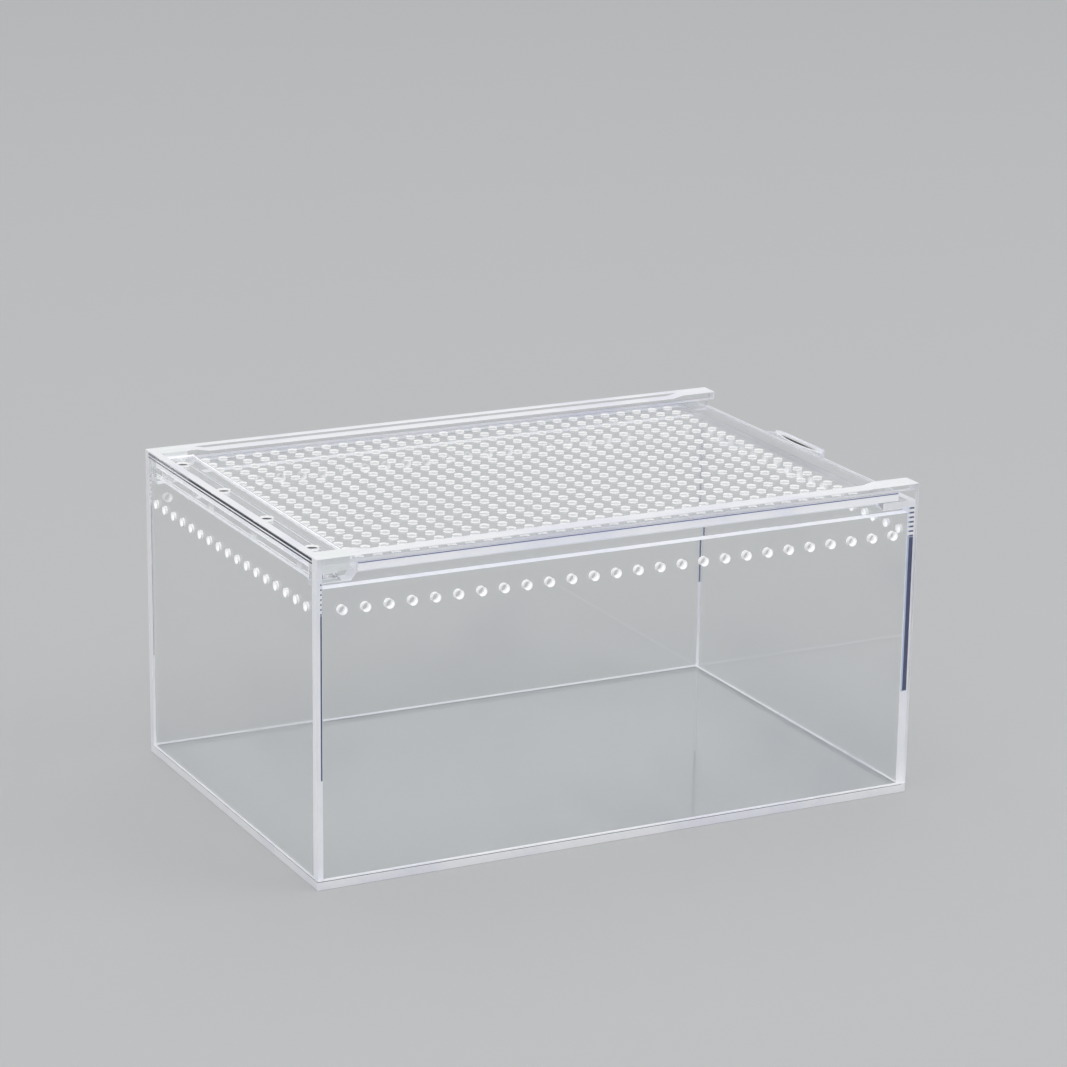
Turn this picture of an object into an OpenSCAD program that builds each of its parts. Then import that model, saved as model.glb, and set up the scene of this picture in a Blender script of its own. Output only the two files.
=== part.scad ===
// Clear acrylic pet keeper: a bonded box of cut sheet, vented near the top, with a perforated
// lid that slides out to the right between two runners and two cap rails.
// The origin is the middle of the underside, +X is the way the lid slides out and +Z is up.

/* [Box] */
// Outside length, along the way the lid slides
box_l = 300; // [240:1:400]
// Outside width, front to back
box_w = 200; // [140:1:300]
// Outside height
box_h = 150; // [100:1:250]
// Thickness of the acrylic sheet
sheet = 4; // [3:0.5:5]

/* [Wall vents] */
// Diameter of each vent hole
vent_d = 4; // [2:0.5:6]
// Spacing of the vent holes along a wall
vent_pitch = 11; // [8:0.5:20]
// Least distance from the box's corner to the first vent hole
vent_margin = 12; // [8:0.5:20]
// Height of the vent row below the top of the box
vent_drop = 24; // [19:0.5:40]

/* [Rails] */
// Width of the runners that carry the lid
runner_w = 8; // [6:0.5:12]
// Height of the runners
runner_h = 6; // [5:0.5:8]
// Length of the notch at each end of a runner
notch_l = 16; // [14:0.5:24]
// Depth of that notch
notch_d = 3.2; // [2.5:0.1:4]
// Length of the slope out of the notch
notch_slope_l = 2.5; // [1:0.5:4]
// Width of the cap rails that hold the lid down
cap_w = 7; // [5:0.5:12]
// Thickness of a cap rail along its middle
cap_t = 2.8; // [1.5:0.1:3.2]
// Thickness of a cap rail at its raised ends
cap_end_t = 4; // [3.5:0.5:5]
// Length of each raised end
cap_end_l = 18; // [12:1:30]
// Length of the slope up to each raised end
cap_slope_l = 6; // [2:1:10]
// Radius on the free corner of a cap rail
cap_corner_r = 1.5; // [0.5:0.5:4]

/* [Fixed strip] */
// Width of the strip that closes the left end of the top
strip_w = 16; // [14:1:30]
// Height of the strip's top below the top of the box
strip_drop = 2; // [1.5:0.5:3]
// Width of the bearer under the strip
bearer_w = 10; // [9:0.5:12]
// Diameter of the ports through the strip and its bearer
port_d = 6; // [4:0.5:7]
// Spacing of the ports
port_pitch = 50; // [20:1:60]
// Number of ports
port_count = 4; // [1:1:4]
// Length of the upper part of each corner block
block_l = 13; // [10:0.5:14]
// Length of its foot
block_foot_l = 9; // [6:0.5:10]
// How far the foot draws in towards its top
block_draw = 2; // [0:0.5:3]
// Height of the foot
block_foot_h = 4.4; // [3:0.1:6]

/* [Lid] */
// Diameter of each hole in the lid
lid_hole_d = 4; // [2:0.5:5]
// Spacing of the lid's holes along its length
lid_pitch_x = 8.8; // [7:0.1:14]
// Spacing of the lid's holes across its width
lid_pitch_y = 9; // [7:0.1:14]
// Plain margin at the closed end of the lid, to the first holes
lid_margin_in = 4; // [4:0.1:20]
// Least plain margin at the pull end of the lid
lid_margin_out = 19; // [10:0.5:40]
// Least plain margin along each side of the lid
lid_margin_side = 10; // [10:0.1:20]
// Play between the lid and each side wall
side_play = 0.4; // [0.2:0.1:1]
// Play between the lid and the cap rails
top_play = 0.3; // [0.2:0.1:0.6]
// Gap under the lid, over its runners
under_play = 0.1; // [0.05:0.05:0.3]
// Play between the lid and the fixed strip when the lid is shut
end_play = 0.5; // [0.2:0.1:2]
// How far the lid's end stands inside the end of the box
lid_setback = 9; // [8:0.5:12]

/* [Finger pull] */
// Width of the pull where it meets the lid
pull_w = 54; // [45:1:90]
// How far the pull stands out from the lid
pull_reach = 7; // [6:0.5:8]
// How much narrower the pull is at its outer edge, on each side
pull_taper = 7; // [2:0.5:8]
// Width of the raised lip along the pull's outer edge
pull_lip_w = 2.2; // [1.5:0.1:3]
// Height of the lip above the lid
pull_lip_h = 0.8; // [0.5:0.1:2]
// Length of the slot between the lip and the lid
pull_slot_l = 36; // [20:1:40]
// Width of that slot at its middle
pull_slot_w = 2.2; // [1:0.1:2.4]

/* [Hidden] */

$fn = 48;
through = 1;                                    // how far a cutter runs past each face
x_left = -box_l / 2;
x_right = box_l / 2;
y_front = -box_w / 2;
in_left = x_left + sheet;                       // inner faces of the four walls
in_right = x_right - sheet;
in_front = y_front + sheet;
in_back = -in_front;
cap_z = box_h - cap_end_t;                      // underside of the cap rails
runner_top = cap_z - sheet - top_play - under_play;
runner_z = runner_top - runner_h;
notch_z = runner_top - notch_d;
vent_z = box_h - vent_drop;
strip_z = box_h - strip_drop - sheet;
strip_right = in_left + strip_w;
inner_w = box_w - 2 * sheet;
strip_l = inner_w - 2 * cap_w;                  // from one cap rail to the other
lid_z = runner_top + under_play;
lid_x = strip_right + end_play;
lid_end = x_right - lid_setback;
lid_l = lid_end - lid_x;
lid_w = inner_w - 2 * side_play;
lid_cols = floor((lid_l - lid_margin_in - lid_margin_out) / lid_pitch_x) + 1;
lid_rows = floor((lid_w - 2 * lid_margin_side) / lid_pitch_y) + 1;
slot_r = (pow(pull_slot_l / 2, 2) + pow(pull_slot_w, 2)) / (2 * pull_slot_w);
acrylic = [0.86, 0.93, 0.95, 0.45];
cut_edge = [0.95, 0.97, 0.98, 0.85];

// Where holes lie along a wall of the given length, centred on it
function row(length, pitch, margin) =
    let (count = floor((length - 2 * margin) / pitch) + 1)
    [for (i = [0 : count - 1]) (i - (count - 1) / 2) * pitch];

// A block from its lowest corner, by its size
module bar(corner, size) {
    translate(corner) cube(size);
}

// An outline drawn in X and Z, made solid over the width w from y back
module side_cut(y, w) {
    translate([0, y + w, 0]) rotate([90, 0, 0]) linear_extrude(w) children();
}

// A long wall that lies along X, with its vent holes, its front face at y
module long_wall(y) {
    difference() {
        bar([x_left, y, sheet], [box_l, sheet, box_h - sheet]);
        for (x = row(box_l, vent_pitch, vent_margin))
            translate([x, y - through, vent_z])
                rotate([-90, 0, 0])
                    cylinder(d = vent_d, h = sheet + 2 * through);
    }
}

// A short wall between the long ones, up to the height top, with its vent holes
module short_wall(x, top) {
    difference() {
        bar([x, in_front, sheet], [sheet, inner_w, top - sheet]);
        for (y = row(box_w, vent_pitch, vent_margin))
            translate([x - through, y, vent_z])
                rotate([0, 90, 0])
                    cylinder(d = vent_d, h = sheet + 2 * through);
    }
}

// The row of ports, cut from z up through the height h
module port_cutters(z, h) {
    for (i = [0 : port_count - 1])
        translate([in_left + bearer_w / 2, (i - (port_count - 1) / 2) * port_pitch, z - through])
            cylinder(d = port_d, h = h + 2 * through);
}

module base_plate() {
    color(acrylic) bar([x_left, y_front, 0], [box_l, box_w, sheet]);
}

module front_panel() {
    color(acrylic) long_wall(y_front);
}

module back_panel() {
    color(acrylic) long_wall(in_back);
}

module left_panel() {
    color(acrylic) short_wall(x_left, box_h);
}

// Lower than the other walls, so that the lid slides out over it
module right_panel() {
    color(acrylic) short_wall(in_right, runner_top);
}

// A runner seen from the front, with a notch at each end
module runner_profile() {
    polygon([[in_left, runner_z], [in_right, runner_z], [in_right, notch_z],
        [in_right - notch_l + notch_slope_l, notch_z], [in_right - notch_l, runner_top],
        [in_left + notch_l, runner_top], [in_left + notch_l - notch_slope_l, notch_z],
        [in_left, notch_z]]);
}

module front_runner() {
    color(acrylic) side_cut(in_front, runner_w) runner_profile();
}

module back_runner() {
    color(acrylic) side_cut(in_back - runner_w, runner_w) runner_profile();
}

// Lies in the runners' left notches and carries the fixed strip
module left_bearer() {
    bearer_h = strip_z - notch_z;
    color(acrylic)
        difference() {
            bar([in_left, -strip_l / 2, notch_z], [bearer_w, strip_l, bearer_h]);
            port_cutters(notch_z, bearer_h);
        }
}

// Lies in the runners' right notches, under the pull end of the lid
module right_crossbar() {
    crossbar_w = notch_l - notch_slope_l;
    color(acrylic) bar([in_right - crossbar_w, in_front, notch_z], [crossbar_w, inner_w, notch_d]);
}

module fixed_strip() {
    color(acrylic)
        difference() {
            bar([in_left, -strip_l / 2, strip_z], [strip_w, strip_l, sheet]);
            port_cutters(strip_z, sheet);
        }
}

// A stepped block in each left corner, its foot in the runner's notch and its top under the cap
module block_profile() {
    translate([in_left, notch_z])
        polygon([[0, 0], [block_foot_l, 0], [block_foot_l - block_draw, block_foot_h],
            [block_l, block_foot_h], [block_l, cap_z - notch_z], [0, cap_z - notch_z]]);
}

module front_left_block() {
    color(cut_edge) side_cut(in_front, cap_w) block_profile();
}

module back_left_block() {
    color(cut_edge) side_cut(in_back - cap_w, cap_w) block_profile();
}

// A cap rail seen from the front, raised at both ends
module cap_profile() {
    polygon([[in_left, cap_z], [x_right, cap_z], [x_right, box_h],
        [x_right - cap_end_l, box_h], [x_right - cap_end_l - cap_slope_l, cap_z + cap_t],
        [in_left + cap_end_l + cap_slope_l, cap_z + cap_t], [in_left + cap_end_l, box_h],
        [in_left, box_h]]);
}

// The front cap rail seen from above, with its free inner corner rounded
module cap_plan() {
    cap_l = x_right - in_left;
    translate([in_left, in_front]) {
        square([cap_l - cap_corner_r, cap_w]);
        square([cap_l, cap_w - cap_corner_r]);
        translate([cap_l - cap_corner_r, cap_w - cap_corner_r]) circle(r = cap_corner_r);
    }
}

module cap_rail() {
    intersection() {
        side_cut(in_front, cap_w) cap_profile();
        translate([0, 0, cap_z]) linear_extrude(cap_end_t) cap_plan();
    }
}

module front_cap() {
    color(cut_edge) cap_rail();
}

module back_cap() {
    color(cut_edge) mirror([0, 1, 0]) cap_rail();
}

module lid_panel() {
    color(acrylic)
        translate([lid_x, 0, lid_z])
            linear_extrude(sheet)
                difference() {
                    translate([0, -lid_w / 2]) square([lid_l, lid_w]);
                    for (i = [0 : lid_cols - 1], j = [0 : lid_rows - 1])
                        translate([lid_margin_in + i * lid_pitch_x,
                                (j - (lid_rows - 1) / 2) * lid_pitch_y])
                            circle(d = lid_hole_d);
                }
}

// The pull seen from above, measured out from the end of the lid, with its crescent slot
module pull_plan() {
    slot_x = pull_reach - pull_lip_w;
    difference() {
        polygon([[0, -pull_w / 2], [pull_reach, pull_taper - pull_w / 2],
            [pull_reach, pull_w / 2 - pull_taper], [0, pull_w / 2]]);
        intersection() {
            translate([slot_x - pull_slot_w, -pull_slot_l / 2]) square([pull_slot_w, pull_slot_l]);
            translate([slot_x - pull_slot_w + slot_r, 0]) circle(r = slot_r, $fn = 4 * $fn);
        }
    }
}

module finger_pull() {
    color(cut_edge)
        translate([lid_end, 0, lid_z]) {
            linear_extrude(sheet) pull_plan();
            linear_extrude(sheet + pull_lip_h)
                intersection() {
                    pull_plan();
                    translate([pull_reach - pull_lip_w, -pull_w / 2]) square([pull_lip_w, pull_w]);
                }
        }
}

base_plate();
front_panel();
back_panel();
left_panel();
right_panel();
front_runner();
back_runner();
left_bearer();
right_crossbar();
fixed_strip();
front_left_block();
back_left_block();
front_cap();
back_cap();
lid_panel();
finger_pull();
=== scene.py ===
import math

import bmesh
import bpy
from mathutils import Matrix, Vector


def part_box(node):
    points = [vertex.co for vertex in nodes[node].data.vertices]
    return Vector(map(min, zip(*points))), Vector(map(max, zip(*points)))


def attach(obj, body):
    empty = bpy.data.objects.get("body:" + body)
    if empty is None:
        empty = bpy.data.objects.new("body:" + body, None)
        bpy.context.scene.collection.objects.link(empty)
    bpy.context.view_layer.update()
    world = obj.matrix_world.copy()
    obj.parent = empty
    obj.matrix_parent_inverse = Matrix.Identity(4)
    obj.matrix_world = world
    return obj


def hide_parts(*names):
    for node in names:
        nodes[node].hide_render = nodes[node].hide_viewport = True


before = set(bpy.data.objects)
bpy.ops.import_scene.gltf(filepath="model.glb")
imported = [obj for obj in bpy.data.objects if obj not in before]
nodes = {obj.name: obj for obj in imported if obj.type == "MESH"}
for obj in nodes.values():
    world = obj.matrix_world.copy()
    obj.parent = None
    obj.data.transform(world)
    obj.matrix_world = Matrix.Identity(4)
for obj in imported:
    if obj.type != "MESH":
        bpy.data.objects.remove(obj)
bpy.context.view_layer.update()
scene = bpy.context.scene
print("frame loaded:", len(nodes), "solids")


# Camera at the photograph's angle

cameraSetup = {
    "azimuth": -26.87,      # degrees round the box, negative is left of straight ahead
    "elevation": 17.47,
    "roll": 0.74,
    "distance": 1.710,
    "target": (0.0, 0.0, 0.075),
    "lens": 123.21,
    "sensor": 36,
    "shift": (0.00746, 0.08148),
    "clip": (0.01, 60),
}


def addCamera(setup):
    az, el, roll = (math.radians(setup[k]) for k in ("azimuth", "elevation", "roll"))
    back = Vector((math.sin(az) * math.cos(el), -math.cos(az) * math.cos(el), math.sin(el)))
    right = Vector((0, 0, 1)).cross(back).normalized()
    up = back.cross(right)
    turnedRight = math.cos(roll) * right + math.sin(roll) * up
    turnedUp = -math.sin(roll) * right + math.cos(roll) * up
    data = bpy.data.cameras.new("studioCamera")
    data.sensor_width = setup["sensor"]
    data.lens = setup["lens"]
    data.shift_x, data.shift_y = setup["shift"]
    data.clip_start, data.clip_end = setup["clip"]
    camera = bpy.data.objects.new("studioCamera", data)
    scene.collection.objects.link(camera)
    turn = Matrix((turnedRight, turnedUp, back)).transposed().to_4x4()
    place = Vector(setup["target"]) + back * setup["distance"]
    camera.matrix_world = Matrix.Translation(place) @ turn
    scene.camera = camera


addCamera(cameraSetup)
print("camera placed")


# Node tools


def newGroup(name, inputs, outputs):
    group = bpy.data.node_groups.new(name, "ShaderNodeTree")
    for label, kind, value in inputs:
        socket = group.interface.new_socket(label, in_out="INPUT", socket_type=kind)
        socket.default_value = value
    for label, kind in outputs:
        group.interface.new_socket(label, in_out="OUTPUT", socket_type=kind)
    return group, group.nodes.new("NodeGroupInput"), group.nodes.new("NodeGroupOutput")


def newMaterial(name):
    material = bpy.data.materials.new(name)
    material.use_nodes = True
    tree = material.node_tree
    shader = next(n for n in tree.nodes if n.type == "BSDF_PRINCIPLED")
    output = next(n for n in tree.nodes if n.type == "OUTPUT_MATERIAL")
    return material, tree, shader, output


def feed(tree, value, socket):
    # a value is another node's output, or else a plain number or colour
    if hasattr(value, "is_output"):
        tree.links.new(value, socket)
    else:
        socket.default_value = value


def addNode(tree, kind, settings=None, **values):
    node = tree.nodes.new(kind)
    for key, value in (settings or {}).items():
        setattr(node, key, value)
    for key, value in values.items():
        node.inputs[key].default_value = value
    return node


def addGroup(tree, group, values):
    node = addNode(tree, "ShaderNodeGroup", {"node_tree": group})
    for label, value in values.items():
        node.inputs[label].default_value = value
    return node


def addMath(tree, operation, *values):
    node = addNode(tree, "ShaderNodeMath", {"operation": operation})
    for socket, value in zip(node.inputs, values):
        feed(tree, value, socket)
    return node.outputs[0]


def addRamp(tree, source, low, high):
    # smoothly from 0 at low to 1 at high, or the other way round where low is the larger
    node = addNode(tree, "ShaderNodeMapRange", {"interpolation_type": "SMOOTHSTEP"})
    tree.links.new(source, node.inputs["Value"])
    node.inputs["From Min"].default_value = low
    node.inputs["From Max"].default_value = high
    return node.outputs["Result"]


def stepAt(tree, source, place, blur):
    # 0 before the place and 1 past it, or the other way round where the blur is negative
    return addRamp(tree, source, place - blur, place + blur)


def addNoise(tree, coords, scale, detail=1.0, stretch=(1, 1, 1)):
    mapping = addNode(tree, "ShaderNodeMapping", Scale=stretch)
    tree.links.new(coords, mapping.inputs["Vector"])
    noise = addNode(tree, "ShaderNodeTexNoise", Scale=scale, Detail=detail)
    tree.links.new(mapping.outputs["Vector"], noise.inputs["Vector"])
    return noise.outputs["Fac"]


def mixColour(tree, amount, first, second):
    node = addNode(tree, "ShaderNodeMix", {"data_type": "RGBA"})
    for index, value in ((0, amount), (6, first), (7, second)):     # the factor and the two colours
        feed(tree, value, node.inputs[index])
    return node.outputs[2]


def addBump(tree, height, shader, strength, distance):
    bump = addNode(tree, "ShaderNodeBump", Strength=strength, Distance=distance)
    tree.links.new(height, bump.inputs["Height"])
    tree.links.new(bump.outputs["Normal"], shader.inputs["Normal"])


def objectCoords(tree):
    return tree.nodes.new("ShaderNodeTexCoord").outputs["Object"]


def seenFromInside(tree):
    return tree.nodes.new("ShaderNodeNewGeometry").outputs["Backfacing"]


# Wear and grain that several materials share

sheetWear = {
    "wipeScale": 11.0, "wipeDetail": 4.0, "wipeStretch": (1.0, 0.6, 1.6), "wipeRange": (0.50, 0.72),
    "grainScale": 160.0, "grainDetail": 2.0,
    "scratches": [(30.0, (0.35, 9.0, 9.0), 0.62, 0.0035),       # scale, stretch, level and width
                  (26.0, (8.0, 0.4, 8.0), 0.65, 0.0030)],
    "scratchRoughness": 0.25, "scratchDepth": 0.08, "waveScale": 7.0,
}


def makeHandlingMarks(wear):
    # wipe marks, fine scratches and the slight waviness of cast sheet
    group, given, result = newGroup(
        "handlingMarks",
        [("Polish", "NodeSocketFloat", 0.02), ("Wipe Marks", "NodeSocketFloat", 0.05),
         ("Scratches", "NodeSocketFloat", 0.3)],
        [("Roughness", "NodeSocketFloat"), ("Height", "NodeSocketFloat"), ("Haze", "NodeSocketFloat")])
    coords = objectCoords(group)
    wipes = addNoise(group, coords, wear["wipeScale"], wear["wipeDetail"], wear["wipeStretch"])
    wipes = addRamp(group, wipes, *wear["wipeRange"])
    grain = addNoise(group, coords, wear["grainScale"], wear["grainDetail"])
    lines = []
    for scale, stretch, level, width in wear["scratches"]:
        off = addMath(group, "SUBTRACT", addNoise(group, coords, scale, stretch=stretch), level)
        lines.append(addRamp(group, addMath(group, "ABSOLUTE", off), width, 0.0))
    lines = addMath(group, "MULTIPLY", addMath(group, "MAXIMUM", *lines), wipes)
    lines = addMath(group, "MULTIPLY", lines, given.outputs["Scratches"])
    haze = addMath(group, "MULTIPLY", wipes, addMath(group, "MULTIPLY_ADD", grain, 0.5, 0.5))
    rough = addMath(group, "MULTIPLY", haze, given.outputs["Wipe Marks"])
    rough = addMath(group, "ADD", given.outputs["Polish"], rough)
    rough = addMath(group, "ADD", rough, addMath(group, "MULTIPLY", lines, wear["scratchRoughness"]))
    wave = addNoise(group, coords, wear["waveScale"])
    height = addMath(group, "ADD", wave, addMath(group, "MULTIPLY", lines, wear["scratchDepth"]))
    group.links.new(rough, result.inputs["Roughness"])
    group.links.new(height, result.inputs["Height"])
    group.links.new(haze, result.inputs["Haze"])
    return group


cutPattern = {
    "patchScale": 26.0, "patchDetail": 3.0, "patchRange": (0.44, 0.68), "patchShare": 0.8,
    "fleckScale": 900.0, "fleckDetail": 2.0, "fleckShare": 0.6, "fleckRoughness": 0.25,
    "rippleScale": 420.0, "rippleStretch": (1.0, 1.0, 0.15),
}


def makeCutGrain(cut):
    # the frosty face that a saw or a laser leaves, with cool tints along it
    group, given, result = newGroup(
        "cutGrain",
        [("Bright", "NodeSocketColor", (0.93, 0.94, 0.96, 1)),
         ("Shade", "NodeSocketColor", (0.72, 0.73, 0.86, 1)),
         ("Gloss", "NodeSocketFloat", 0.3), ("Tint Amount", "NodeSocketFloat", 0.4)],
        [("Color", "NodeSocketColor"), ("Roughness", "NodeSocketFloat"), ("Height", "NodeSocketFloat")])
    coords = objectCoords(group)
    patches = addNoise(group, coords, cut["patchScale"], cut["patchDetail"])
    patches = addRamp(group, patches, *cut["patchRange"])
    flecks = addNoise(group, coords, cut["fleckScale"], cut["fleckDetail"])
    ripples = addNoise(group, coords, cut["rippleScale"], stretch=cut["rippleStretch"])
    tint = given.outputs["Tint Amount"]
    for pattern, share in ((flecks, cut["fleckShare"]), (patches, cut["patchShare"])):
        tint = addMath(group, "MULTIPLY", tint, addMath(group, "MULTIPLY_ADD", pattern, share, 1 - share))
    colour = mixColour(group, tint, given.outputs["Bright"], given.outputs["Shade"])
    rough = addMath(group, "MULTIPLY", flecks, cut["fleckRoughness"])
    group.links.new(colour, result.inputs["Color"])
    group.links.new(addMath(group, "ADD", given.outputs["Gloss"], rough), result.inputs["Roughness"])
    group.links.new(addMath(group, "ADD", flecks, ripples), result.inputs["Height"])
    return group


handlingMarks = makeHandlingMarks(sheetWear)
cutGrain = makeCutGrain(cutPattern)


# Materials

acrylicIor = 1.49
waveHeight = 0.002      # metres of bump on the polished faces
cutHeight = 0.0002      # and on the cut ones


def letLampsThrough(tree, shader, output, colour):
    # lamps reach what lies behind, as they do through real acrylic
    film = addNode(tree, "ShaderNodeBsdfTransparent", Color=colour)
    path = tree.nodes.new("ShaderNodeLightPath")
    mix = tree.nodes.new("ShaderNodeMixShader")
    tree.links.new(path.outputs["Is Shadow Ray"], mix.inputs[0])
    tree.links.new(shader.outputs[0], mix.inputs[1])
    tree.links.new(film.outputs[0], mix.inputs[2])
    tree.links.new(mix.outputs[0], output.inputs["Surface"])


def makeClearFace(name, finish):
    material, tree, shader, output = newMaterial(name)
    marks = addGroup(tree, handlingMarks, {"Polish": finish["polish"], "Wipe Marks": finish["wipeMarks"],
                                           "Scratches": finish["scratches"]})
    colour = mixColour(tree, marks.outputs["Haze"], finish["tint"], finish["hazeTint"])
    tree.links.new(colour, shader.inputs["Base Color"])
    tree.links.new(marks.outputs["Roughness"], shader.inputs["Roughness"])
    shader.inputs["IOR"].default_value = acrylicIor
    shader.inputs["Transmission Weight"].default_value = 1.0
    addBump(tree, marks.outputs["Height"], shader, finish["wave"], waveHeight)
    letLampsThrough(tree, shader, output, finish["shadow"])
    return material


def makeCutFace(name, finish, colourOf=None):
    # colourOf can change the grain's colour before it reaches the surface
    material, tree, shader, output = newMaterial(name)
    grain = addGroup(tree, cutGrain, {"Bright": finish["bright"], "Shade": finish["shade"],
                                      "Gloss": finish["gloss"], "Tint Amount": finish["tint"]})
    colour = grain.outputs["Color"]
    if colourOf:
        colour = colourOf(tree, colour, finish)
    tree.links.new(colour, shader.inputs["Base Color"])
    # painted glow: the face also gives out its own colour at the finish's glow strength, standing in for light
    # that the sheets carry to their cut edges
    tree.links.new(colour, shader.inputs["Emission Color"])
    shader.inputs["Emission Strength"].default_value = finish["glow"]
    tree.links.new(grain.outputs["Roughness"], shader.inputs["Roughness"])
    shader.inputs["IOR"].default_value = acrylicIor
    shader.inputs["Alpha"].default_value = finish["alpha"]
    if finish.get("oneSided"):  # shows from outside only
        alpha = addMath(tree, "MULTIPLY_ADD", seenFromInside(tree), -finish["alpha"], finish["alpha"])
        tree.links.new(alpha, shader.inputs["Alpha"])
    addBump(tree, grain.outputs["Height"], shader, finish["grain"], cutHeight)
    letLampsThrough(tree, shader, output, finish["shadow"])
    return material


def readDepth(tree):
    # 0 on a sheet's outer face and 1 on its inner one
    return addNode(tree, "ShaderNodeAttribute",
                   {"attribute_type": "GEOMETRY", "attribute_name": "sheetDepth"}).outputs["Fac"]


def paintedBoreShade(tree, grainColour, finish):
    # painted shade: white at both rims and where the wall is seen through the sheet, darkened with the bore
    # shade straight into the hole
    fromMiddle = addMath(tree, "ABSOLUTE", addMath(tree, "SUBTRACT", readDepth(tree), 0.5))
    rim = stepAt(tree, fromMiddle, 0.5 - finish["rim"], finish["blur"])
    white = addMath(tree, "MAXIMUM", rim, seenFromInside(tree))
    return mixColour(tree, white, finish["bore"], grainColour)


def paintedVentRungs(tree, finish):
    # painted reflection: white rungs in the sheet's end stand in for the row of vents reflected inside the
    # sheet
    # the painted dark line runs from below them down to its foot, and the rest of the end is plain
    split = tree.nodes.new("ShaderNodeSeparateXYZ")
    tree.links.new(objectCoords(tree), split.inputs[0])
    height = split.outputs["Z"]
    low, high = finish["rungs"]
    foot, fade = finish["lineFoot"], finish["rungFade"]
    below = addMath(tree, "MULTIPLY", addRamp(tree, height, low, low - fade),
                    addRamp(tree, height, foot, foot + finish["footFade"]))
    within = addMath(tree, "MULTIPLY", addRamp(tree, height, low - fade, low),
                     addRamp(tree, height, high, high - fade))
    swing = addMath(tree, "MULTIPLY", addMath(tree, "SUBTRACT", height, low), 2 * math.pi / finish["rungPitch"])
    swing = addMath(tree, "COSINE", swing)
    gap = stepAt(tree, swing, math.cos(math.pi * finish["rungGap"]), finish["rungBlur"])
    return addMath(tree, "MAXIMUM", below, addMath(tree, "MULTIPLY", within, gap))


def paintedEdgeLines(tree, grainColour, finish):
    # a cemented edge, white on its outer side, with painted reflections on its inner side: a dark line and a
    # pale one
    depth, shown = readDepth(tree), paintedVentRungs(tree, finish)
    for start, line in ((finish["lineStart"], finish["line"]), (finish["lineEnd"], finish["pale"])):
        mask = addMath(tree, "MULTIPLY", stepAt(tree, depth, start, finish["blur"]), shown)
        grainColour = mixColour(tree, mask, grainColour, line)
    return grainColour


def paintedTopLine(tree, grainColour, finish):
    # a long cut edge with a painted reflection: a thin dark line under its upper corner
    mask = stepAt(tree, readDepth(tree), finish["lineEnd"], -finish["blur"])
    return mixColour(tree, mask, grainColour, finish["line"])


clearFinish = {
    "tint": (0.982, 0.987, 0.989, 1), "hazeTint": (0.945, 0.95, 0.965, 1),
    "shadow": (0.93, 0.945, 0.95, 1), "polish": 0.015, "wipeMarks": 0.09, "scratches": 0.8, "wave": 0.06,
}
edgeFinish = {
    "bright": (0.94, 0.94, 0.955, 1), "shade": (0.68, 0.69, 0.85, 1), "shadow": (0.60, 0.60, 0.63, 1),
    "gloss": 0.22, "tint": 0.55, "alpha": 1.0, "glow": 0.05, "grain": 0.35,
}
paintedGlowEdgeFinish = dict(edgeFinish, glow=0.33)     # edges with a stronger painted glow, as if light came out of them, inside the box's top
# the lid's long edges: a painted glow, and a painted dark line under their upper corner
lidEdgeFinish = dict(edgeFinish, glow=0.20, line=(0.05, 0.075, 0.26, 1), lineEnd=0.16, blur=0.04)
# vents, lid holes and ports: a painted glow, and painted shade in their bores (bore), darkest in the ports
ventFinish = {
    "bright": (0.96, 0.96, 0.96, 1), "shade": (0.78, 0.79, 0.84, 1), "shadow": (0.70, 0.70, 0.72, 1),
    "gloss": 0.12, "tint": 0.3, "alpha": 1.0, "glow": 0.24, "grain": 0.15,
    "bore": (0.94, 0.94, 0.955, 1), "rim": 0.12, "blur": 0.02,
}
lidHoleFinish = dict(ventFinish, glow=0.16, bore=(0.58, 0.585, 0.60, 1), rim=0.18)
portFinish = dict(ventFinish, glow=0.16, bore=(0.09, 0.095, 0.11, 1), rim=0.24)
frostFinish = {
    "bright": (0.92, 0.925, 0.95, 1), "shade": (0.70, 0.71, 0.86, 1), "shadow": (0.66, 0.66, 0.69, 1),
    "gloss": 0.38, "tint": 0.5, "alpha": 0.85, "glow": 0.12, "grain": 0.5,
}
endFinish = dict(frostFinish, alpha=0.30)       # a polished end that one looks through
# painted shade lines along the left wall's top edge, seen from outside only
shadeLineFinish = dict(frostFinish, bright=(0.10, 0.11, 0.15, 1), shade=(0.05, 0.06, 0.10, 1), alpha=0.62,
                       glow=0.0, oneSided=True)
blockFinish = {
    "bright": (0.80, 0.82, 0.815, 1), "shade": (0.60, 0.62, 0.67, 1), "shadow": (0.62, 0.62, 0.64, 1),
    "gloss": 0.42, "tint": 0.5, "alpha": 1.0, "glow": 0.15, "grain": 0.6,
}
# cemented ends of the side walls, with a painted reflection: dark line, pale line and white rungs
bondPaintedLinesFinish = {
    "bright": (0.93, 0.93, 0.955, 1), "shade": (0.70, 0.71, 0.87, 1), "shadow": (0.60, 0.60, 0.63, 1),
    "gloss": 0.2, "tint": 0.4, "alpha": 1.0, "glow": 0.08, "grain": 0.3,
    "line": (0.035, 0.045, 0.13, 1), "pale": (0.50, 0.60, 0.78, 1), "lineStart": 0.74, "lineEnd": 0.92,
    "blur": 0.03, "lineFoot": 0.0491, "footFade": 0.0008,
    "rungs": (0.1245, 0.1390), "rungPitch": 0.0022, "rungGap": 0.30, "rungFade": 0.001, "rungBlur": 0.2,
}
rightBondPaintedLinesFinish = dict(bondPaintedLinesFinish, lineStart=0.14, lineEnd=0.70, rungGap=0.36)

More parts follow.
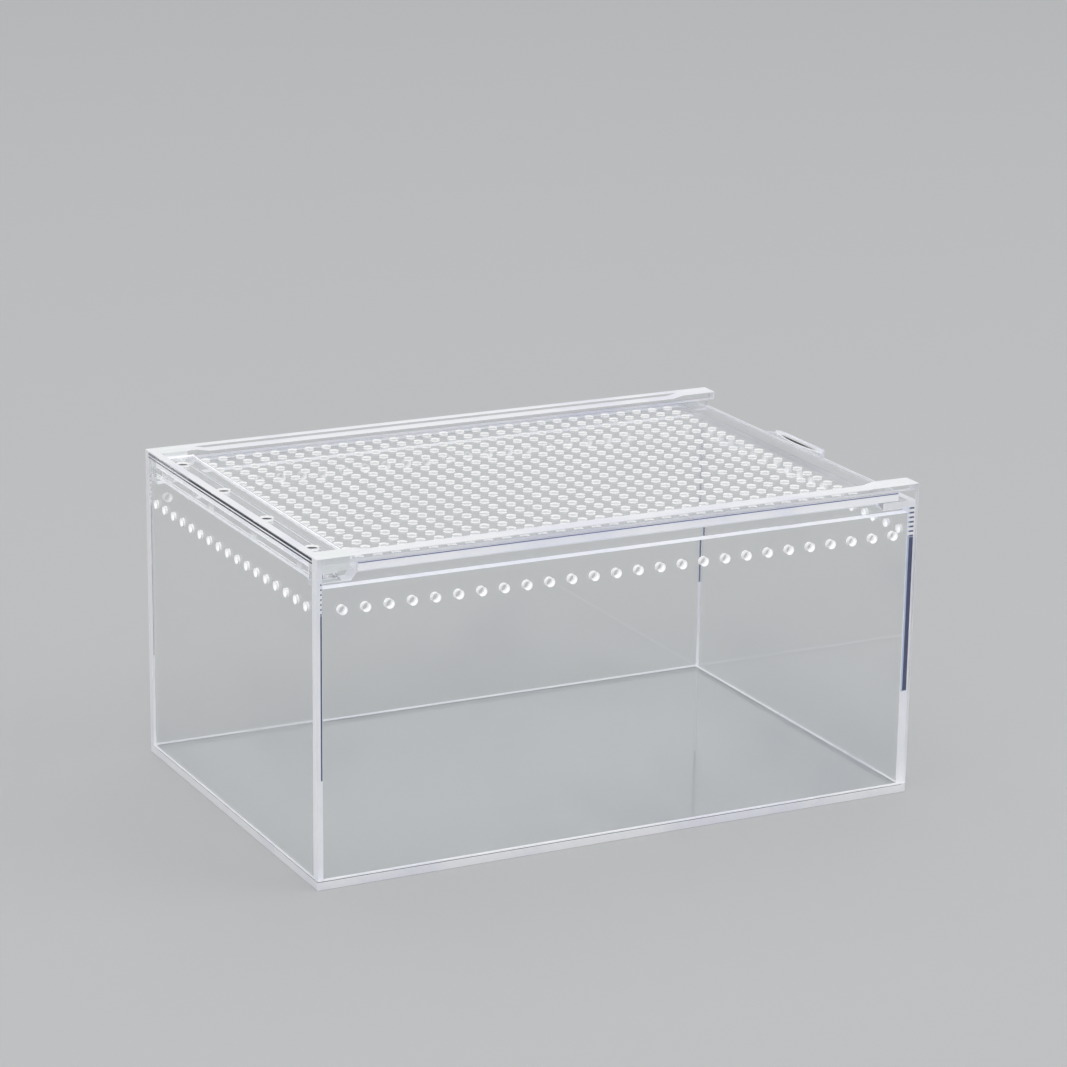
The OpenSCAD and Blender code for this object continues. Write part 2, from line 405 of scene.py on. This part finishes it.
clearFace = makeClearFace("polishedSheet", clearFinish)
cutFace = makeCutFace("sawnEdge", edgeFinish)
paintedGlowEdgeFace = makeCutFace("paintedGlowEdge", paintedGlowEdgeFinish)
lidEdgeFace = makeCutFace("lidLongEdge", lidEdgeFinish, paintedTopLine)
ventFace = makeCutFace("wallVent", ventFinish, paintedBoreShade)
lidHoleFace = makeCutFace("lidHole", lidHoleFinish, paintedBoreShade)
portFace = makeCutFace("stripPort", portFinish, paintedBoreShade)
frostFace = makeCutFace("frostedBarFace", frostFinish)
endFace = makeCutFace("polishedEnd", endFinish)
shadeLineFace = makeCutFace("shadeLine", shadeLineFinish)
blockFace = makeCutFace("frostedBlock", blockFinish)
leftBondPaintedLinesFace = makeCutFace("leftCementedEdgePaintedLines", bondPaintedLinesFinish, paintedEdgeLines)
rightBondPaintedLinesFace = makeCutFace("rightCementedEdgePaintedLines", rightBondPaintedLinesFinish, paintedEdgeLines)
print("materials made")


# Mesh tools

bondGap = 0.00002       # bonded faces are kept this far apart, so that light finds each one
tiny = 1e-6             # points closer than this are the same
facing = 0.95           # how much of its normal points one way, where a face takes that way's material
square = 0.9            # the same, where a sheet's flat faces are only told from its edges
upright = 0.5           # an upright face's normal has less height than this


def vertsIn(geom):
    return [g for g in geom if isinstance(g, bmesh.types.BMVert)]


def innerBox(node):
    low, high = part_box(node)
    gap = Vector((bondGap, bondGap, bondGap))
    return low + gap, high - gap


def holeCell(bm, cell, radius, quarter, rim):
    # a rectangle of sheet with one round hole, in two rings of four-sided faces
    # the inner ring is the hole's frosted rim, and its faces are marked with material 1
    grid = bmesh.ops.create_grid(bm, x_segments=quarter, y_segments=quarter, size=0.5)
    bmesh.ops.scale(bm, vec=(cell[0], cell[1], 1), verts=grid["verts"])
    bmesh.ops.delete(bm, geom=[v for v in bm.verts if not v.is_boundary], context="VERTS")
    outline = list(bm.edges)
    circle = bmesh.ops.create_circle(bm, segments=4 * quarter, radius=radius + rim)
    ring = list(dict.fromkeys(e for v in circle["verts"] for e in v.link_edges))
    bmesh.ops.bridge_loops(bm, edges=outline + ring)
    made = bmesh.ops.extrude_edge_only(bm, edges=ring)["geom"]
    inner = radius / (radius + rim)
    bmesh.ops.scale(bm, vec=(inner, inner, 1), verts=vertsIn(made))
    for face in made:
        if isinstance(face, bmesh.types.BMFace):
            face.material_index = 1


def repeatAlong(bm, step, count):
    source = bm.verts[:] + bm.edges[:] + bm.faces[:]
    for i in range(1, count):
        made = bmesh.ops.duplicate(bm, geom=source)["geom"]
        bmesh.ops.translate(bm, vec=step * i, verts=vertsIn(made))


def drawMargin(bm, axis, target):
    # brings the sheet's border on one side out from its outermost holes, or in, to its cut edge
    sign = 1 if target > 0 else -1
    limit = max(sign * v.co[axis] for v in bm.verts)
    border = [e for e in bm.edges
              if e.is_boundary and all(sign * v.co[axis] > limit - tiny for v in e.verts)]
    moved = list(dict.fromkeys(v for e in border for v in e.verts))
    if sign * target > limit:
        moved = vertsIn(bmesh.ops.extrude_edge_only(bm, edges=border)["geom"])
    move = Vector((0, 0, 0))
    move[axis] = target - sign * limit
    bmesh.ops.translate(bm, vec=move, verts=moved)


def cutAcross(bm, axis, *places):
    # new edges right across the piece, so that a material can end there
    across = Vector((0, 0, 0))
    across[axis] = 1
    for place in places:
        bmesh.ops.bisect_plane(bm, geom=bm.verts[:] + bm.edges[:] + bm.faces[:], dist=tiny,
                               plane_co=across * place, plane_no=across)


def paintFaces(bm, rules, side):
    # rules say which material lies on the faces that look one way, side is for all the others
    materials = [side] + [m for m in dict.fromkeys(m for _, m in rules) if m != side]
    for face in bm.faces:
        found = [m for way, m in rules if face.normal.dot(Vector(way)) > facing]
        face.material_index = materials.index(found[0] if found else side)
    return materials


def paintWhere(bm, materials, material, test):
    if material not in materials:
        materials.append(material)
    for face in bm.faces:
        if test(face, face.calc_center_median()):
            face.material_index = materials.index(material)


def markDepth(bm, axis, outer, inner):
    layer = bm.verts.layers.float.new("sheetDepth")
    for v in bm.verts:
        v[layer] = (v.co[axis] - outer) / (inner - outer)


def finishMesh(bm, piece, node, body, materials):
    mesh = bpy.data.meshes.new(piece)
    bm.to_mesh(mesh)
    bm.free()
    made = bpy.data.objects.new(piece, mesh)
    scene.collection.objects.link(made)
    for material in materials:
        mesh.materials.append(material)
    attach(made, body)
    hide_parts(node)
    print("made", piece, len(mesh.polygons), "faces")


def drillSheet(sheet, low, high):
    # laid flat with its holes in rows, then drawn out to its edges, given its thickness and put in its place
    thin, cell, count = sheet["thin"], sheet["cell"], sheet["count"]
    a, b = (thin + 1) % 3, (thin + 2) % 3
    pitch = sheet.get("pitch", cell)
    centre = Vector(sheet["centre"])
    bm = bmesh.new()
    holeCell(bm, (cell[a], cell[b]), sheet["hole"] / 2, sheet["quarter"], sheet["rim"])
    for i, axis in enumerate((a, b)):
        if pitch[axis] > cell[axis]:
            drawMargin(bm, i, pitch[axis] - cell[axis] / 2)
    repeatAlong(bm, Vector((pitch[a], 0, 0)), count[a])
    repeatAlong(bm, Vector((0, pitch[b], 0)), count[b])
    bmesh.ops.remove_doubles(bm, verts=bm.verts[:], dist=tiny)
    start = (-(count[a] - 1) / 2 * pitch[a], -(count[b] - 1) / 2 * pitch[b], 0)
    bmesh.ops.translate(bm, vec=start, verts=bm.verts[:])
    for i, axis in enumerate((a, b)):
        drawMargin(bm, i, high[axis] - centre[axis])
        drawMargin(bm, i, low[axis] - centre[axis])
    made = bmesh.ops.extrude_face_region(bm, geom=bm.faces[:])["geom"]
    bmesh.ops.translate(bm, vec=(0, 0, (high - low)[thin]), verts=vertsIn(made))
    columns = [Vector((0, 0, 0)) for _ in range(3)]
    columns[0][a] = columns[1][b] = columns[2][thin] = 1
    centre[thin] = low[thin]
    stand = Matrix.Translation(centre) @ Matrix(columns).transposed().to_4x4()
    bmesh.ops.transform(bm, matrix=stand, verts=bm.verts[:])
    bmesh.ops.recalc_face_normals(bm, faces=bm.faces[:])
    return bm


def makeDrilledSheet(piece, node, body, sheet, outerSide=1):
    low, high = innerBox(node)
    thin = sheet["thin"]
    a, b = (thin + 1) % 3, (thin + 2) % 3
    bm = drillSheet(sheet, low, high)

    def onEdge(part):   # all of it lies on the sheet's cut edges
        return all(min(abs(v.co[i] - end[i]) for i in (a, b) for end in (low, high)) < tiny
                   for v in part.verts)

    rims = [face for face in bm.faces if face.material_index == 1 and abs(face.normal[thin]) > square]
    flat = [tuple(sign if i == thin else 0 for i in range(3)) for sign in (1, -1)]
    side = sheet.get("side", cutFace)
    materials = paintFaces(bm, sheet["faces"] + [(way, clearFace) for way in flat], side)
    materials.append(sheet["holeFace"])
    for face in bm.faces:
        if abs(face.normal[thin]) < square and not onEdge(face):
            face.material_index = len(materials) - 1
            face.smooth = True
    for face in rims:
        face.material_index = len(materials) - 1
    if "whiteLine" in sheet:    # a frosted line low along its outer side
        line = low.z + sheet["whiteLine"]
        cutAcross(bm, 2, line)
        paintWhere(bm, materials, side,
                   lambda f, spot: f.normal.x < -square and spot.z < line and onEdge(f))
    for bottom, top in sheet.get("shadeLines", []):     # painted shade: dark lines in its outer face, by the top edge
        cutAcross(bm, 2, bottom, top)
        paintWhere(bm, materials, shadeLineFace,
                   lambda f, spot: outerSide * f.normal[thin] > square and bottom < spot.z < top)
    if "blockSpan" in sheet:    # its top edge is frosted over the corner block
        start, end = sheet["blockSpan"]
        cutAcross(bm, 0, start, end)
        paintWhere(bm, materials, blockFace,
                   lambda f, spot: f.normal.z > square and start < spot.x < end)
    edges = [e for e in bm.edges
             if onEdge(e) and len(e.link_faces) == 2 and e.calc_face_angle() > sheet["sharp"]]
    eased = bmesh.ops.bevel(bm, geom=edges, offset=sheet["bevel"], offset_type="OFFSET", segments=2,
                            profile=0.5, affect="EDGES", material=-1)["faces"]
    for face in eased:      # the eased corners are sawn, as the side is
        face.material_index = 0
    markDepth(bm, thin, *((high[thin], low[thin]) if outerSide > 0 else (low[thin], high[thin])))
    finishMesh(bm, piece, node, body, materials)


def makeCutBar(piece, node, body, bar):
    # a sheet or bar without holes, from the solid's own outline, its corners eased and its faces told apart
    bm = bmesh.new()
    bm.from_mesh(nodes[node].data)
    bmesh.ops.remove_doubles(bm, verts=bm.verts[:], dist=tiny)
    bmesh.ops.dissolve_limit(bm, angle_limit=math.radians(1), use_dissolve_boundaries=False,
                             verts=bm.verts[:], edges=bm.edges[:])
    low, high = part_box(node)
    middle = (low + high) / 2
    bmesh.ops.translate(bm, vec=-middle, verts=bm.verts[:])
    bmesh.ops.scale(bm, vec=[(s - 2 * bondGap) / s for s in high - low], verts=bm.verts[:])
    bmesh.ops.translate(bm, vec=middle, verts=bm.verts[:])
    materials = paintFaces(bm, bar["faces"], bar["side"])
    if "slotFace" in bar:       # the walls of the finger slot
        start, end = bar["slotBox"]
        paintWhere(bm, materials, bar["slotFace"], lambda f, spot: abs(f.normal.z) < upright
                   and all(lo < c < hi for lo, c, hi in zip(start, spot, end)))
    edges = [e for e in bm.edges if len(e.link_faces) == 2 and e.calc_face_angle() > bar["sharp"]]
    bmesh.ops.bevel(bm, geom=edges, offset=bar["bevel"], offset_type="OFFSET", segments=2,
                    profile=0.5, affect="EDGES", material=-1, clamp_overlap=True)
    if "clearFoot" in bar:      # clear below this height
        cutAcross(bm, 2, bar["clearFoot"])
        paintWhere(bm, materials, clearFace,
                   lambda f, spot: spot.z < bar["clearFoot"] and abs(f.normal.z) < upright)
    if "frostedEnd" in bar:     # the end that is cemented over its corner block
        cutAcross(bm, 0, bar["frostedEnd"])
        paintWhere(bm, materials, blockFace,
                   lambda f, spot: spot.x < bar["frostedEnd"] and max(abs(f.normal.y), f.normal.z) > square)
    markDepth(bm, 2, high.z, low.z)
    finishMesh(bm, piece, node, body, materials)


# The floor sheet and the four walls

basePlate = {
    "side": cutFace, "faces": [((0, 0, 1), clearFace), ((0, 0, -1), clearFace)],
    "bevel": 0.0004, "sharp": 0.5, "slot": "clear_acrylic",
}
makeCutBar("base_sheet", "base_plate", "box", basePlate)

frontWall = {
    "thin": 1, "hole": 0.004, "rim": 0.00012, "quarter": 6,     # quarter: faces in a quarter of a hole
    "cell": (0.011, 0, 0.011), "count": (26, 1, 1), "centre": (0, 0, 0.126),
    "bevel": 0.0003, "sharp": 1.0, "slot": "clear_acrylic",
    "holeFace": ventFace, "faces": [((-1, 0, 0), frostFace)], "blockSpan": (-0.146, -0.133),
}
makeDrilledSheet("front_wall", "front_panel", "box", frontWall, outerSide=-1)

backWall = dict(frontWall, faces=[])
makeDrilledSheet("back_wall", "back_panel", "box", backWall)

leftWall = {
    "thin": 0, "hole": 0.004, "rim": 0.00012, "quarter": 6,
    "cell": (0, 0.011, 0.011), "count": (1, 17, 1), "centre": (0, 0, 0.126),
    "bevel": 0.0003, "sharp": 1.0, "slot": "clear_acrylic",
    "holeFace": ventFace, "faces": [((0, -1, 0), leftBondPaintedLinesFace), ((0, 1, 0), leftBondPaintedLinesFace)],
    "shadeLines": [(0.1482, 0.1493), (0.1468, 0.1475)],
}
makeDrilledSheet("left_wall", "left_panel", "box", leftWall, outerSide=-1)

rightWall = dict(leftWall, shadeLines=[], faces=[((0, -1, 0), rightBondPaintedLinesFace), ((0, 1, 0), rightBondPaintedLinesFace)])
makeDrilledSheet("right_wall", "right_panel", "box", rightWall)
print("walls made")


# Rails, strip and blocks round the top

runner = {
    "side": cutFace, "faces": [((0, 1, 0), clearFace), ((0, -1, 0), clearFace),
                               ((0, 0, 1), frostFace), ((0, 0, -1), paintedGlowEdgeFace)],
    "bevel": 0.00025, "sharp": 0.3, "slot": "clear_acrylic",
}
makeCutBar("front_runner_bar", "front_runner", "box", runner)
makeCutBar("back_runner_bar", "back_runner", "box", runner)

capRail = {
    "side": cutFace, "faces": [((0, 1, 0), clearFace), ((0, -1, 0), clearFace)],
    "bevel": 0.0003, "sharp": 0.3, "slot": "clear_acrylic", "frostedEnd": -0.133,
}
makeCutBar("front_cap_rail", "front_cap", "box", capRail)
makeCutBar("back_cap_rail", "back_cap", "box", capRail)

cornerBlock = {
    "side": blockFace, "faces": [],
    "bevel": 0.0003, "sharp": 0.2, "slot": "frosted_acrylic", "clearFoot": 0.1422,
}
makeCutBar("front_corner_block", "front_left_block", "box", cornerBlock)
makeCutBar("back_corner_block", "back_left_block", "box", cornerBlock)

crossbar = {
    "side": cutFace, "faces": [((0, 0, 1), clearFace), ((0, 0, -1), clearFace), ((-1, 0, 0), clearFace)],
    "bevel": 0.0002, "sharp": 0.5, "slot": "clear_acrylic",
}
makeCutBar("right_cross_bar", "right_crossbar", "box", crossbar)

fixedStrip = {
    "thin": 2, "hole": 0.006, "rim": 0.0002, "quarter": 8,
    "cell": (0.0092, 0.0092, 0), "pitch": (0.0092, 0.050, 0), "count": (1, 4, 1), "centre": (-0.141, 0, 0),
    "bevel": 0.0004, "sharp": 1.0, "slot": "clear_acrylic",
    "holeFace": portFace, "side": paintedGlowEdgeFace, "faces": [((1, 0, 0), endFace)],
}
makeDrilledSheet("port_strip", "fixed_strip", "box", fixedStrip)

bearer = dict(fixedStrip, bevel=0.0003, whiteLine=0.0017,
              faces=[(way, clearFace) for way in ((1, 0, 0), (-1, 0, 0), (0, 1, 0), (0, -1, 0))])
makeDrilledSheet("strip_bearer", "left_bearer", "box", bearer)
print("rails made")


# The sliding lid and its pull

lid = {
    "thin": 2, "hole": 0.004, "rim": 0.00025, "quarter": 4,
    "cell": (0.0088, 0.009, 0), "count": (29, 20, 1), "firstColumn": 0.004,     # from the lid's left edge
    "bevel": 0.0002, "sharp": 1.0, "slot": "clear_acrylic", "holeFace": lidHoleFace,
    "faces": [((-1, 0, 0), endFace), ((0, 1, 0), lidEdgeFace), ((0, -1, 0), lidEdgeFace)],
}
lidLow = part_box("lid_panel")[0]
lid["centre"] = (lidLow.x + lid["firstColumn"] + (lid["count"][0] - 1) / 2 * lid["cell"][0], 0, 0)
makeDrilledSheet("vented_lid", "lid_panel", "lid", lid)

fingerPull = {
    "side": cutFace, "faces": [((0, 0, 1), clearFace), ((0, 0, -1), clearFace)],
    "bevel": 0.0002, "sharp": 0.3, "slot": "clear_acrylic",
    "slotFace": portFace, "slotBox": ((0.1432, -0.0185, 0.1410), (0.1462, 0.0185, 0.1468)),
}
makeCutBar("lid_pull", "finger_pull", "lid", fingerPull)
print("lid made")


# Floor, world and soft lamps

studio = {
    "floorColour": (0.57, 0.575, 0.58, 1), "floorSize": 30.0, "floorRoughness": 0.85, "floorShine": 0.2,
    "skyLow": (0.46, 0.47, 0.49, 1), "skyHigh": (0.95, 0.96, 0.97, 1), "skyRange": (0.02, 0.7),
    "skyStrength": 0.56,        # as a light, and 1 where it is seen
    "lampAim": (0, 0, 0.07),
    "lamps": [("keySoftbox", (-3.2, -3.0, 4.2), 5.2, 120.0, (1.0, 0.99, 0.97)),
              ("fillSoftbox", (4.0, -2.4, 3.0), 4.6, 54.0, (0.97, 0.98, 1.0)),
              ("topSoftbox", (0.6, 1.8, 4.8), 6.4, 60.0, (1.0, 1.0, 1.0))],
}


def makeFloor():
    bm = bmesh.new()
    bmesh.ops.create_grid(bm, x_segments=2, y_segments=2, size=studio["floorSize"] / 2)
    mesh = bpy.data.meshes.new("studioFloor")
    bm.to_mesh(mesh)
    bm.free()
    floor = bpy.data.objects.new("studioFloor", mesh)
    scene.collection.objects.link(floor)
    material, _, shader, _ = newMaterial("paleFloor")
    shader.inputs["Base Color"].default_value = studio["floorColour"]
    shader.inputs["Roughness"].default_value = studio["floorRoughness"]
    shader.inputs["Specular IOR Level"].default_value = studio["floorShine"]
    mesh.materials.append(material)


def makeWorld():
    world = bpy.data.worlds.new("studioWorld")
    world.use_nodes = True
    tree = world.node_tree
    background = next(n for n in tree.nodes if n.type == "BACKGROUND")
    split = tree.nodes.new("ShaderNodeSeparateXYZ")
    tree.links.new(tree.nodes.new("ShaderNodeTexCoord").outputs["Generated"], split.inputs[0])
    climb = addRamp(tree, split.outputs["Z"], *studio["skyRange"])
    tree.links.new(mixColour(tree, climb, studio["skyLow"], studio["skyHigh"]), background.inputs["Color"])
    path = tree.nodes.new("ShaderNodeLightPath")
    bent = addMath(tree, "MAXIMUM", path.outputs["Is Glossy Ray"], path.outputs["Is Transmission Ray"])
    seen = addMath(tree, "MAXIMUM", path.outputs["Is Camera Ray"], bent)
    strength = addNode(tree, "ShaderNodeMapRange")
    tree.links.new(seen, strength.inputs["Value"])
    strength.inputs["To Min"].default_value = studio["skyStrength"]
    strength.inputs["To Max"].default_value = 1.0
    tree.links.new(strength.outputs["Result"], background.inputs["Strength"])
    scene.world = world


def addLamp(name, place, size, power, colour):
    data = bpy.data.lights.new(name, "AREA")
    data.shape = "SQUARE"
    data.size = size
    data.energy = power
    data.color = colour
    lamp = bpy.data.objects.new(name, data)
    lamp.location = place
    lamp.rotation_euler = (Vector(place) - Vector(studio["lampAim"])).to_track_quat("Z", "Y").to_euler()
    scene.collection.objects.link(lamp)


makeFloor()
makeWorld()
for lamp in studio["lamps"]:
    addLamp(*lamp)
scene.view_settings.view_transform = "Standard"
print("studio lit")
